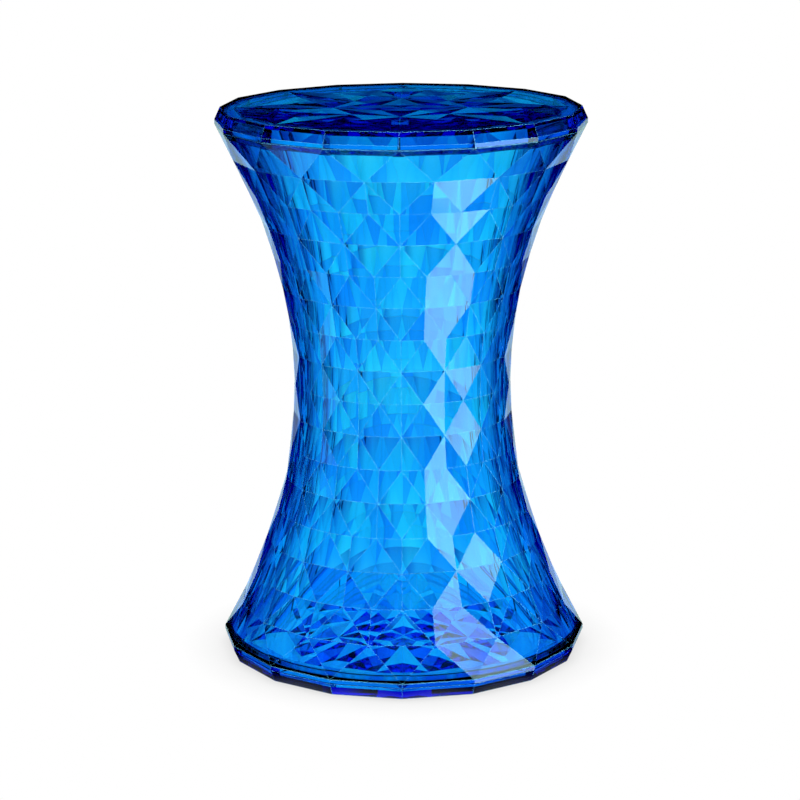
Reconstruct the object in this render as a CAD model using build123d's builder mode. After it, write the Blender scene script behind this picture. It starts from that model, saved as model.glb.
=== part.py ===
from build123d import *
import math
import os

# A see-through acrylic stool in three mouldings: a hollow hourglass body whose outside is cut like a gem,
# and two sixteen-sided discs that close it, one as the seat and one as the base. Z is up, and the origin is
# on the floor, under the middle of the seat.

# Overall sizes
height = 450.0
rim_radius = 150.0
waist_radius = 88.6

# Discs, the same for seat and base, with depths measured from the outer flat face
bevel_depth = 10.0
bevel_width = 4.6
edge_depth = 13.6
spigot_depth = 17.0
spigot_clearance = 0.3
rim_land = 16.0

# Rosette on the inner face of each disc: corners and their depths, and how far each facet point stands proud
star_radius = 22.0
star_depth = 12.0
petal_radius = 54.0
petal_depth = 11.0
spray_radius = 99.0
spray_depth = 8.0
border_depth = 7.0
point_height = 2.5

# Body
wall = 6.0
rim_wall = 5.5
flare_power = 1.95
inner_flare_power = 2.05

# Counts: the sides, a multiple of four, the cells of the rosette's rounds, the bands of facets from the waist
# to a rim, and the steps along that stretch of the inner wall
sides = 16
petals = sides // 2
stars = sides // 4
bands = 8
inner_stations = 6

# A turn round the middle is counted in sides, and half of one puts a corner over the middle of a side
half_side = 1 / 2


def corner(radius, z, turn):
    """The point at a radius and a height, where turn counts the sides passed from the front."""
    angle = 2 * math.pi * turn / sides
    return Vector(radius * math.sin(angle), -radius * math.cos(angle), z)


def ring(radius, z, count, start):
    """Evenly spaced corners, the first of them start sides round from the front."""
    return [corner(radius, z, start + sides / count * i) for i in range(count)]


def facet(*points):
    """A flat face with these corners."""
    return Face(Wire.make_polygon(points))


def solid_of(facets):
    """A closed solid from the facets that bound it."""
    return Solid(Shell(facets))


# Body, outside: level rings of corners on a curve, with flat facets between them. Counted from either rim,
# the odd rings are coarse, with a corner to each side of the stool, and the even ones are fine, with two.
rim_to_waist = height / 2 - edge_depth


def flare(share, inner, outer, power):
    """Radius of the hourglass curve, where share is 0 at the waist and 1 at either rim."""
    return inner + (outer - inner) * abs(share) ** power


def is_coarse(step):
    """Whether the ring that is this many steps from its rim is a coarse one."""
    return step % 2 == 1


def is_turned(step):
    """Whether a coarse ring is turned by half a side, as every other one is, from the first."""
    return step % 4 == 1


def body_ring(level):
    """Corners of a ring. Level 0 is the waist, and plus or minus bands are the rims."""
    z = height / 2 + rim_to_waist * level / bands
    radius = flare(level / bands, waist_radius, rim_radius, flare_power)
    step = bands - abs(level)
    if step == 0:
        return ring(radius, z, sides, 0)
    if is_coarse(step):
        return ring(radius, z, sides, half_side if is_turned(step) else 0)
    return ring(radius, z, 2 * sides, 0)


def rim_band(rim, next_ring):
    """Alternate triangles between the rim and the ring next to it, which is turned by half a side."""
    facets = []
    for i in range(sides):
        facets.append(facet(rim[i - 1], rim[i], next_ring[i - 1]))
        facets.append(facet(next_ring[i - 1], next_ring[i], rim[i]))
    return facets


def diamond_band(coarse, fine, turned):
    """Three triangles at each corner of a coarse ring: one on its edge, and two that meet the fine ring."""
    facets = []
    for i in range(sides):
        j = 2 * i + 1 if turned else 2 * i
        below = fine[j]
        right = fine[(j + 1) % len(fine)]
        left = fine[j - 1]
        facets.append(facet(coarse[i], coarse[(i + 1) % sides], right))
        facets.append(facet(coarse[i], below, right))
        facets.append(facet(coarse[i], below, left))
    return facets


def body_facets():
    """Every facet of the body's outside, with the two flat ends."""
    facets = []
    for end in (-1, 1):
        rim = body_ring(end * bands)
        facets.append(facet(*rim))
        facets += rim_band(rim, body_ring(end * (bands - 1)))
        for step in range(1, bands):
            level = end * (bands - step)
            outer, inner = body_ring(level), body_ring(level - end)
            if is_coarse(step):
                facets += diamond_band(outer, inner, is_turned(step))
            else:
                facets += diamond_band(inner, outer, is_turned(step + 1))
    return facets


# Body, inside: a smooth hourglass, open at both ends
flat_share = math.cos(math.pi / sides)
mouth_radius = rim_radius * flat_share - rim_wall
throat_radius = waist_radius * flat_share - wall
rebate_depth = spigot_depth - edge_depth + spigot_clearance


def inner_curve():
    """Points up the smooth inner wall, from the lower mouth to the upper one."""
    stations = [i / inner_stations for i in range(-inner_stations, inner_stations + 1)]
    return [
        (flare(s, throat_radius, mouth_radius, inner_flare_power), height / 2 + rim_to_waist * s)
        for s in stations
    ]


body_outside = solid_of(body_facets())

with BuildPart() as body:
    add(body_outside)
    with BuildSketch(Plane.XZ):
        with BuildLine():
            points = inner_curve()
            Spline(*points)
            Polyline(points[-1], (0, points[-1][1]), (0, points[0][1]), points[0])
        make_face()
    revolve(axis=Axis.Z, mode=Mode.SUBTRACT)
    for end in (-1, 1):
        with BuildSketch(Plane.XY.offset(height / 2 + end * rim_to_waist)):
            Circle(mouth_radius)
        extrude(amount=-end * rebate_depth, mode=Mode.SUBTRACT)

body.part.label = "body"

# Rosette: four kites at the middle, four wider cells round them, then eight cells and eight kites out to the
# border, each cell a low four-sided point. The border is where the plate meets the spigot.
face_radius = rim_radius - bevel_width
border_radius = rim_radius - rim_land
core_depth = border_depth / 2


def rosette_cells(level):
    """Corners of the rosette's cells and of the triangles that edge it. Level turns a depth into a height."""
    centre = Vector(0, 0, level(star_depth))
    star = ring(star_radius, level(star_depth), stars, half_side * sides / stars)
    petal = ring(petal_radius, level(petal_depth), petals, 0)
    spray = ring(spray_radius, level(spray_depth), sides, half_side)
    border = ring(border_radius, level(border_depth), sides, 0)
    cells, edging = [], []
    for i in range(stars):
        cells.append((centre, star[i - 1], petal[2 * i], star[i]))
        cells.append((star[i], petal[2 * i], petal[2 * i + 1], petal[(2 * i + 2) % petals]))
    for i in range(petals):
        following = petal[(i + 1) % petals]
        cells.append((petal[i], spray[2 * i], spray[2 * i + 1], following))
        cells.append((petal[i], spray[2 * i - 1], border[2 * i], spray[2 * i]))
        edging.append((spray[2 * i], spray[2 * i + 1], border[2 * i + 1]))
    for i in range(sides):
        edging.append((border[i], border[(i + 1) % sides], spray[i]))
    return cells, edging, border


def crossing(cell):
    """Where the diagonals of a cell cross, seen from above, at the mean height of its corners."""
    a, b, c, d = cell
    across, along = c - a, d - b
    share = ((b.X - a.X) * along.Y - (b.Y - a.Y) * along.X) / (across.X * along.Y - across.Y * along.X)
    middle = a + across * share
    return Vector(middle.X, middle.Y, sum(point.Z for point in cell) / len(cell))


def rosette_core(level, inward):
    """The pointed inner face of a disc as a solid, with a flat back inside the plate."""
    cells, edging, border = rosette_cells(level)
    back = ring(border_radius, level(core_depth), sides, 0)
    facets = [facet(*back)]
    for i in range(sides):
        facets.append(facet(border[i], border[(i + 1) % sides], back[(i + 1) % sides], back[i]))
    for cell in cells:
        point = crossing(cell) + Vector(0, 0, inward * point_height)
        facets += [facet(cell[i - 1], cell[i], point) for i in range(len(cell))]
    for triangle in edging:
        facets.append(facet(*triangle))
    return solid_of(facets)


# Discs: a bevelled plate with a flat outer face, a short spigot that enters the body's mouth, and the rosette
# inside that


def make_disc(face_height, inward):
    """A disc with its flat face at a height, where inward is 1 or -1 along Z, from there into the stool."""

    def level(depth):
        return face_height + inward * depth

    core = rosette_core(level, inward)
    with BuildPart() as disc:
        with BuildSketch(Plane.XY.offset(level(0))):
            RegularPolygon(face_radius, sides)
        with BuildSketch(Plane.XY.offset(level(bevel_depth))):
            RegularPolygon(rim_radius, sides)
        loft(ruled=True)
        with BuildSketch(Plane.XY.offset(level(bevel_depth))):
            RegularPolygon(rim_radius, sides)
        extrude(amount=inward * (edge_depth - bevel_depth))
        with BuildSketch(Plane.XY.offset(level(edge_depth))):
            Circle(mouth_radius - spigot_clearance)
        extrude(amount=inward * (spigot_depth - edge_depth))
        with BuildSketch(Plane.XY.offset(level(core_depth))):
            RegularPolygon(border_radius, sides)
        extrude(amount=inward * (spigot_depth - core_depth), mode=Mode.SUBTRACT)
        add(core)
    return disc


seat_disc = make_disc(height, -1)
seat_disc.part.label = "seat_disc"

base_disc = make_disc(0, 1)
base_disc.part.label = "base_disc"

os.makedirs("parts", exist_ok=True)
export_step(body.part, "parts/body.step")
export_step(seat_disc.part, "parts/seat_disc.step")
export_step(base_disc.part, "parts/base_disc.step")
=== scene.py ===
import math

import bpy
from mathutils import Matrix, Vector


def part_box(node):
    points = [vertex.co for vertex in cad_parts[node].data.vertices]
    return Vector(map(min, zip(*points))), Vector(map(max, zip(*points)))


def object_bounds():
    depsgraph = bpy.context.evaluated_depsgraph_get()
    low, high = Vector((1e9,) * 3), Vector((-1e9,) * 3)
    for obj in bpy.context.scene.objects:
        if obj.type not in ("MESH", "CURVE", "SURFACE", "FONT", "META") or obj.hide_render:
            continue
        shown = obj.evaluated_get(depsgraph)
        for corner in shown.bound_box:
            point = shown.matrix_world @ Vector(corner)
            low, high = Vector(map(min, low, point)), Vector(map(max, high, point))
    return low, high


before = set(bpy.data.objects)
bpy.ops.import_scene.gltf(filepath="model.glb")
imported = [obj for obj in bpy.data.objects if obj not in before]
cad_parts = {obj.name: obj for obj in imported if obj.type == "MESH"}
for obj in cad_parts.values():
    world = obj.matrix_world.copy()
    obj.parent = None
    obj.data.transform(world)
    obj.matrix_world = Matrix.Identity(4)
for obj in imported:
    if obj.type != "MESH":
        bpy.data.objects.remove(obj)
cad_low, cad_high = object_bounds()

# Camera: its turn, place, tilt and lens, fitted to the stool's rings of corners in the photograph
CAMERA_TURN = math.radians(0.65)
CAMERA_AWAY = 2.1865
CAMERA_HEIGHT = 0.7478
CAMERA_PITCH = math.radians(13.874)
CAMERA_ROLL = math.radians(0.329)
CAMERA_LENS = 123.2
CAMERA_SENSOR = 36.0
CAMERA_SHIFT = (-0.0032, -0.0008)
CAMERA_REACH = 100.0

# Stool: its height, its rims and the discs' depth at the rims from the frame, and its waist and flare
STOOL_HEIGHT = cad_high[2]
RIM_RADIUS = (cad_high[0] - cad_low[0]) / 2
RIM_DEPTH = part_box("body")[0][2]
WAIST_RADIUS = 0.0886
FLARE_POWER = 1.95

# Acrylic: how strongly it bends light, the colour it lets through, and what it takes of the rest per metre
ACRYLIC_IOR = 1.56
ACRYLIC_TINT = (0.0, 0.855, 0.993, 1.0)
ACRYLIC_DENSITY = 290.0

# Outer skin: its depth under the flare, and the share of the way to a rim from where all faces belong to it
SKIN_DEPTH = 0.004
SKIN_RIM_SHARE = 0.98

# Painted shade of the cut faces, standing in for the differing light through them: the noise that picks it
# by a face's direction, and its lightest and deepest tones
TONE_SCALE = 9.0
TONE_RANGE = (0.40, 0.62)
FACE_SHADE_CLEAR = (1.0, 1.0, 1.0, 1.0)
FACE_SHADE_DEEP = (0.35, 0.50, 0.98, 1.0)

# Edges: their rounding in metres, and the faint painted highlight line on them, which grows with the turn of
# the surface
EDGE_ROUND = 0.0007
EDGE_SAMPLES = 4
EDGE_TURN = (0.004, 0.03)
EDGE_HIGHLIGHT = 0.25
EDGE_HIGHLIGHT_TINT = (0.25, 0.7, 1.0, 1.0)

# Glare: how glancing the angle is where it is cut, by how much, and the darker colour that passes in its
# place, a painted shade on glancing faces and the seat
GLARE_ANGLE = (0.3, 0.6)
GLARE_CUT = 0.8
GLARE_CUT_SEAT = 0.9
GLARE_PASS_SHADE = (0.25, 0.25, 0.6, 1.0)
GLARE_PASS_SHADE_SEAT = (0.55, 0.55, 0.55, 1.0)

# Height from which level faces have their glare cut too, a little above the base disc
GLARE_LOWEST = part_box("base_disc")[1][2] + 0.003

# How level a face is, as the upward share of its direction: the seat's top, and what counts as upright
LEVEL_SEAT = (0.9, 0.95)
LEVEL_UPRIGHT = 0.6

# Floor, with a soft shade round the stool, and the glow under it, which fades out across the rim
FLOOR_HALF = 6.0
FLOOR_DROP = 0.0005
SHADE_REACH = 0.04
SHADE_DEPTH = 0.35
SHADE_SAMPLES = 8
GLOW_LEVEL = 1.1
GLOW_TINT = (0.7, 0.85, 1.0, 1.0)
GLOW_EDGE = (RIM_RADIUS - 0.010, RIM_RADIUS + 0.002)

# Directions of the light, in degrees here and below
STRAIGHT_UP = 90.0
HALF_TURN = 180.0

# Panels of light seen through the acrylic, alike all round, and their level by turn from a panel's middle
PANELS = 4
PANEL_HALF = HALF_TURN / PANELS
PANEL_SIDES = (
    (-45.0, 0.9), (-37.5, 0.9), (-36.0, 0.04), (-33.0, 0.04), (-27.0, 0.15), (-21.0, 0.38),
    (-15.0, 0.62), (-9.0, 0.80), (-4.0, 1.0), (6.0, 1.0), (12.0, 0.97), (18.0, 0.78),
    (24.0, 0.35), (28.0, 0.15), (33.0, 0.04), (36.0, 0.04), (37.5, 0.9), (45.0, 0.9),
)

# Narrow bars, dark and bright, that cross the panels, by turn to either side
PANEL_BARS = (
    (0.0, 1.0), (13.5, 1.0), (14.0, 0.0), (16.0, 0.0), (16.5, 1.3), (20.0, 1.3), (20.5, 0.0),
    (23.0, 0.0), (23.5, 2.5), (26.5, 2.5), (27.0, 0.0), (36.5, 0.0), (37.5, 1.0), (45.0, 1.0),
)

# Level of the panels by height, their strength, what is left between them, and how blue that is
PANEL_LEVELS = (
    (-70.0, 0.25), (-33.0, 0.35), (-27.0, 0.55), (-21.0, 0.90), (-15.0, 1.06),
    (-9.0, 1.16), (-3.0, 1.35), (14.0, 1.35), (30.0, 0.4), (50.0, 0.02),
)
PANEL_STRENGTH = 1.04
ROOM_LEVEL = 0.016
PANEL_DEEP = 0.9

# Mirrored strips of light: from and to by turn rightwards from the front, from and to by height, and level
STRIPS = (
    (29.0, 52.0, -42.0, 62.0, 4.7),
    (36.0, 66.0, -56.0, -42.0, 4.1),
    (63.0, 72.5, -56.0, 62.0, 4.4),
    (-90.0, -79.0, -48.0, 0.0, 0.45),
)
STRIP_SOFT = 1.0

# Pale wall behind the stool, mirrored in its sides: half its width, its foot and top, softness and level
WALL_HALF = 24.0
WALL_FOOT = -45.0
WALL_TOP = -4.0
WALL_SOFT = 2.0
WALL_FOOT_SOFT = 3.0
WALL_LEVEL = 3.6

# Share of red in all that is mirrored
MIRRORED_RED = 0.66

# Render: how often light may be bent or mirrored on its way
BOUNCES = 32

# Places of the two colours and of the result on a Mix node that is set to colour
MIX_START = 6
MIX_END = 7
MIX_RESULT = 2


def link(tree, value, socket):
    """Joins a socket to another node's output, or sets it to a plain number or colour."""
    if isinstance(value, bpy.types.NodeSocket):
        tree.links.new(value, socket)
    else:
        socket.default_value = value


def node(tree, kind, **inputs):
    """A new node with its inputs set or joined. An underscore in an input's name stands for a space."""
    made = tree.nodes.new(kind)
    for name, value in inputs.items():
        link(tree, value, made.inputs[name.replace("_", " ")])
    return made


def math_node(tree, operation, *values):
    """The result of one step of arithmetic."""
    made = tree.nodes.new("ShaderNodeMath")
    made.operation = operation
    for socket, value in zip(made.inputs, values):
        link(tree, value, socket)
    return made.outputs["Value"]


def product(tree, first, *others):
    """All the values multiplied together."""
    result = first
    for other in others:
        result = math_node(tree, "MULTIPLY", result, other)
    return result


def fade(tree, value, start, end, at_start=1.0, at_end=0.0):
    """A soft step from one level to another, as the value goes from start to end."""
    made = node(tree, "ShaderNodeMapRange", Value=value, From_Min=start, From_Max=end)
    made.interpolation_type = "SMOOTHSTEP"
    link(tree, at_start, made.inputs["To Min"])
    link(tree, at_end, made.inputs["To Max"])
    return made.outputs["Result"]


def window(tree, value, start, end, soft):
    """One between two values and nothing outside them, soft at both."""
    middle, half = (start + end) / 2, (end - start) / 2
    off = math_node(tree, "ABSOLUTE", math_node(tree, "SUBTRACT", value, middle))
    return fade(tree, off, half - soft, half + soft)


def ramp(tree, value, low, high, stops):
    """A level that runs straight from stop to stop, each a value between low and high with its level."""
    share = node(tree, "ShaderNodeMapRange", Value=value, From_Min=low, From_Max=high)
    made = node(tree, "ShaderNodeValToRGB", Fac=share.outputs["Result"])
    elements = made.color_ramp.elements
    places = [(at - low) / (high - low) for at, level in stops]
    elements[0].position, elements[1].position = places[0], places[-1]
    for place in places[1:-1]:
        elements.new(place)
    for element, (at, level) in zip(elements, stops):
        element.color = (level, level, level, 1.0)
    return made.outputs["Color"]


def mix_colour(tree, share, start, end):
    """A colour that goes from start to end as the share goes from 0 to 1."""
    made = tree.nodes.new("ShaderNodeMix")
    made.data_type = "RGBA"
    link(tree, share, made.inputs["Factor"])
    link(tree, start, made.inputs[MIX_START])
    link(tree, end, made.inputs[MIX_END])
    return made.outputs[MIX_RESULT]


def mix_shader(tree, share, start, end):
    """A surface that goes from start to end as the share goes from 0 to 1."""
    made = node(tree, "ShaderNodeMixShader", Fac=share)
    link(tree, start, made.inputs[1])
    link(tree, end, made.inputs[2])
    return made.outputs["Shader"]


def split(tree, vector):
    """A vector's three parts, by the names X, Y and Z."""
    return node(tree, "ShaderNodeSeparateXYZ", Vector=vector).outputs


def new_material(name):
    """An empty material, with its node tree and output."""
    material = bpy.data.materials.new(name)
    material.use_nodes = True
    tree = material.node_tree
    tree.nodes.clear()
    return material, tree, tree.nodes.new("ShaderNodeOutputMaterial")


def outer_skin(tree, place):
    """One on the outside of the stool and nothing on the body's smooth inside."""
    squares = [math_node(tree, "MULTIPLY", place[axis], place[axis]) for axis in ("X", "Y")]
    radius = math_node(tree, "SQRT", math_node(tree, "ADD", *squares))
    middle = STOOL_HEIGHT / 2
    above = math_node(tree, "DIVIDE", math_node(tree, "SUBTRACT", place["Z"], middle), middle - RIM_DEPTH)
    share = math_node(tree, "ABSOLUTE", above)
    widening = math_node(tree, "POWER", share, FLARE_POWER)
    flare = math_node(tree, "MULTIPLY_ADD", widening, RIM_RADIUS - WAIST_RADIUS, WAIST_RADIUS)
    outside = math_node(tree, "GREATER_THAN", radius, math_node(tree, "SUBTRACT", flare, SKIN_DEPTH))
    return math_node(tree, "MAXIMUM", outside, math_node(tree, "GREATER_THAN", share, SKIN_RIM_SHARE))


def painted_face_shade(tree, skin, face_direction):
    """A painted shade on a cut face, the same all over it, because the noise is read at its direction."""
    noise = node(tree, "ShaderNodeTexNoise", Vector=face_direction, Scale=TONE_SCALE, Detail=0.0)
    shaded_share = fade(tree, noise.outputs["Fac"], *TONE_RANGE, at_start=0.0, at_end=1.0)
    return mix_colour(tree, product(tree, skin, shaded_share), FACE_SHADE_CLEAR, FACE_SHADE_DEEP)


def painted_edge_highlight_share(tree, skin, rounded, face_direction):
    """How much of the painted highlight line there is: some where the rounded surface leaves the face's own
    direction.
    """
    spread = tree.nodes.new("ShaderNodeVectorMath")
    spread.operation = "DISTANCE"
    link(tree, rounded, spread.inputs[0])
    link(tree, face_direction, spread.inputs[1])
    pale = fade(tree, spread.outputs["Value"], *EDGE_TURN, at_start=0.0, at_end=EDGE_HIGHLIGHT)
    return product(tree, skin, pale)


def glare_share(tree, skin, height, level, geometry):
    """How much mirroring is cut: some at a glancing angle on the outer skin, none on the base's rosette."""
    glancing = tree.nodes.new("ShaderNodeLayerWeight").outputs["Facing"]
    cut = fade(tree, glancing, *GLARE_ANGLE, at_start=0.0, at_end=1.0)
    most = fade(tree, level, *LEVEL_SEAT, at_start=GLARE_CUT, at_end=GLARE_CUT_SEAT)
    front = math_node(tree, "SUBTRACT", 1.0, geometry["Backfacing"])
    above_base = math_node(tree, "GREATER_THAN", height, GLARE_LOWEST)
    upright = math_node(tree, "LESS_THAN", level, LEVEL_UPRIGHT)
    return product(tree, cut, most, front, skin, math_node(tree, "MAXIMUM", above_base, upright))


def make_acrylic():
    """Blue acrylic, dyed through, with painted shade that differs from cut face to cut face, painted
    highlight lines on the edges and little glare.
    """
    material, tree, out = new_material("blue_acrylic")
    geometry = tree.nodes.new("ShaderNodeNewGeometry").outputs
    face_direction = geometry["True Normal"]
    place = split(tree, geometry["Position"])
    skin = outer_skin(tree, place)
    bevel = node(tree, "ShaderNodeBevel", Radius=EDGE_ROUND)
    bevel.samples = EDGE_SAMPLES
    rounded = bevel.outputs["Normal"]
    # The base colour carries the painted shade of the cut faces, darker on some faces at random
    clear = node(tree, "ShaderNodeBsdfPrincipled", Roughness=0.0, IOR=ACRYLIC_IOR, Transmission_Weight=1.0,
                 Base_Color=painted_face_shade(tree, skin, face_direction), Normal=rounded)
    # A pale diffuse line on the edges: a painted highlight
    pale = node(tree, "ShaderNodeBsdfDiffuse", Color=EDGE_HIGHLIGHT_TINT)
    edge_highlight = painted_edge_highlight_share(tree, skin, rounded, face_direction)
    edged = mix_shader(tree, edge_highlight, clear.outputs["BSDF"], pale.outputs["BSDF"])
    level = split(tree, face_direction)["Z"]
    seat = fade(tree, level, *LEVEL_SEAT, at_start=0.0, at_end=1.0)
    # Where the glare is cut, a darker colour passes: painted shade on glancing faces and the seat
    passing_shade = mix_colour(tree, seat, GLARE_PASS_SHADE, GLARE_PASS_SHADE_SEAT)
    unmirrored = node(tree, "ShaderNodeBsdfRefraction", Color=passing_shade, Roughness=0.0, IOR=ACRYLIC_IOR,
                      Normal=rounded)
    cut = glare_share(tree, skin, place["Z"], level, geometry)
    link(tree, mix_shader(tree, cut, edged, unmirrored.outputs["BSDF"]), out.inputs["Surface"])
    inside = node(tree, "ShaderNodeVolumeAbsorption", Color=ACRYLIC_TINT, Density=ACRYLIC_DENSITY)
    link(tree, inside.outputs["Volume"], out.inputs["Volume"])
    return material


def floor_material():
    """To the camera a pale floor with a soft shade, and to all other light a glow under the stool alone."""
    material, tree, out = new_material("floor")
    near = node(tree, "ShaderNodeAmbientOcclusion", Distance=SHADE_REACH)
    near.samples = SHADE_SAMPLES
    shade = math_node(tree, "MULTIPLY_ADD", near.outputs["AO"], SHADE_DEPTH, 1.0 - SHADE_DEPTH)
    pale = node(tree, "ShaderNodeEmission", Strength=shade)
    away = tree.nodes.new("ShaderNodeVectorMath")
    away.operation = "LENGTH"
    link(tree, tree.nodes.new("ShaderNodeTexCoord").outputs["Object"], away.inputs[0])
    nothing = tree.nodes.new("ShaderNodeBsdfTransparent")
    glow = node(tree, "ShaderNodeEmission", Color=GLOW_TINT, Strength=GLOW_LEVEL)
    under = fade(tree, away.outputs["Value"], *GLOW_EDGE)
    unseen = mix_shader(tree, under, nothing.outputs["BSDF"], glow.outputs["Emission"])
    path = tree.nodes.new("ShaderNodeLightPath").outputs
    surface = mix_shader(tree, path["Is Camera Ray"], unseen, pale.outputs["Emission"])
    link(tree, surface, out.inputs["Surface"])
    return material


def make_floor():
    """A square sheet just under the stool's base."""
    signs = [(-1, -1), (1, -1), (1, 1), (-1, 1)]
    corners = [(x * FLOOR_HALF, y * FLOOR_HALF, -FLOOR_DROP) for x, y in signs]
    mesh = bpy.data.meshes.new("floor")
    mesh.from_pydata(corners, [], [range(len(corners))])
    mesh.materials.append(floor_material())
    floor = bpy.data.objects.new("floor", mesh)
    bpy.context.scene.collection.objects.link(floor)


def panel_light(tree, azimuth, elevation):
    """The level of the panels and of the room between them."""
    turn = math_node(tree, "WRAP", azimuth, PANEL_HALF, -PANEL_HALF)
    sides = ramp(tree, turn, -PANEL_HALF, PANEL_HALF, PANEL_SIDES)
    bars = ramp(tree, math_node(tree, "ABSOLUTE", turn), 0.0, PANEL_HALF, PANEL_BARS)
    heights = ramp(tree, elevation, -STRAIGHT_UP, STRAIGHT_UP, PANEL_LEVELS)
    return math_node(tree, "MULTIPLY_ADD", product(tree, sides, bars, heights), PANEL_STRENGTH, ROOM_LEVEL)


def strip_light(tree, azimuth, elevation):
    """The level of the upright strips."""
    from_front = math_node(tree, "SUBTRACT", HALF_TURN, azimuth)
    turn = math_node(tree, "WRAP", from_front, HALF_TURN, -HALF_TURN)
    level = 0.0
    for start, end, low, high, strip_level in STRIPS:
        sideways = window(tree, turn, start, end, STRIP_SOFT)
        upward = window(tree, elevation, low, high, STRIP_SOFT)
        level = math_node(tree, "MULTIPLY_ADD", product(tree, sideways, upward), strip_level, level)
    return level


def wall_share(tree, azimuth, elevation):
    """One on the wall behind the stool and nothing elsewhere."""
    sides = fade(tree, math_node(tree, "ABSOLUTE", azimuth), WALL_HALF - WALL_SOFT, WALL_HALF + WALL_SOFT)
    top = fade(tree, elevation, WALL_TOP - WALL_SOFT, WALL_TOP + WALL_SOFT)
    foot = fade(tree, elevation, WALL_FOOT + WALL_FOOT_SOFT, WALL_FOOT - WALL_FOOT_SOFT)
    return product(tree, sides, top, foot)


def light_colour(tree, path, panels):
    """White, but with less red in what is mirrored, and bluer where the panels are dark."""
    dimmed = math_node(tree, "MINIMUM", math_node(tree, "POWER", panels, PANEL_DEEP), 1.0)
    less_green = math_node(tree, "SUBTRACT", dimmed, 1.0)
    green = math_node(tree, "MULTIPLY_ADD", path["Is Transmission Ray"], less_green, 1.0)
    red = math_node(tree, "MULTIPLY_ADD", path["Is Reflection Ray"], MIRRORED_RED - 1.0, 1.0)
    return node(tree, "ShaderNodeCombineColor", Red=red, Green=green, Blue=1.0).outputs["Color"]


def make_world():
    """A studio that is white to the camera and to matt surfaces, and panels and strips to the acrylic."""
    world = bpy.data.worlds.new("studio")
    bpy.context.scene.world = world
    world.use_nodes = True
    tree = world.node_tree
    tree.nodes.clear()
    direction = split(tree, tree.nodes.new("ShaderNodeTexCoord").outputs["Generated"])
    azimuth = math_node(tree, "DEGREES", math_node(tree, "ARCTAN2", direction["X"], direction["Y"]))
    elevation = math_node(tree, "DEGREES", math_node(tree, "ARCSINE", direction["Z"]))
    panels = panel_light(tree, azimuth, elevation)
    strips = strip_light(tree, azimuth, elevation)
    mirrored = math_node(tree, "MULTIPLY_ADD", wall_share(tree, azimuth, elevation), WALL_LEVEL, strips)
    path = tree.nodes.new("ShaderNodeLightPath").outputs
    strength = product(tree, path["Is Transmission Ray"], panels)
    strength = math_node(tree, "MULTIPLY_ADD", path["Is Reflection Ray"], mirrored, strength)
    strength = math_node(tree, "ADD", strength, path["Is Camera Ray"])
    strength = math_node(tree, "ADD", strength, path["Is Diffuse Ray"])
    sky = node(tree, "ShaderNodeBackground", Color=light_colour(tree, path, panels), Strength=strength)
    out = tree.nodes.new("ShaderNodeOutputWorld")
    link(tree, sky.outputs["Background"], out.inputs["Surface"])


def make_camera():
    """The camera of the photograph."""
    data = bpy.data.cameras.new("camera")
    data.lens = CAMERA_LENS
    data.sensor_width = CAMERA_SENSOR
    data.shift_x, data.shift_y = CAMERA_SHIFT
    data.clip_end = CAMERA_REACH
    camera = bpy.data.objects.new("camera", data)
    bpy.context.scene.collection.objects.link(camera)
    camera.matrix_world = (
        Matrix.Rotation(CAMERA_TURN, 4, "Z")
        @ Matrix.Translation((0, -CAMERA_AWAY, CAMERA_HEIGHT))
        @ Matrix.Rotation(math.pi / 2 - CAMERA_PITCH, 4, "X")
        @ Matrix.Rotation(-CAMERA_ROLL, 4, "Z")
    )
    bpy.context.scene.camera = camera


# All three pieces are of the same acrylic
acrylic = make_acrylic()
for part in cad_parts.values():
    for slot in part.material_slots:
        slot.material = acrylic

make_floor()
make_world()
make_camera()

bpy.context.scene.view_settings.view_transform = "Standard"
cycles = bpy.context.scene.cycles
cycles.max_bounces = cycles.transmission_bounces = cycles.glossy_bounces = BOUNCES
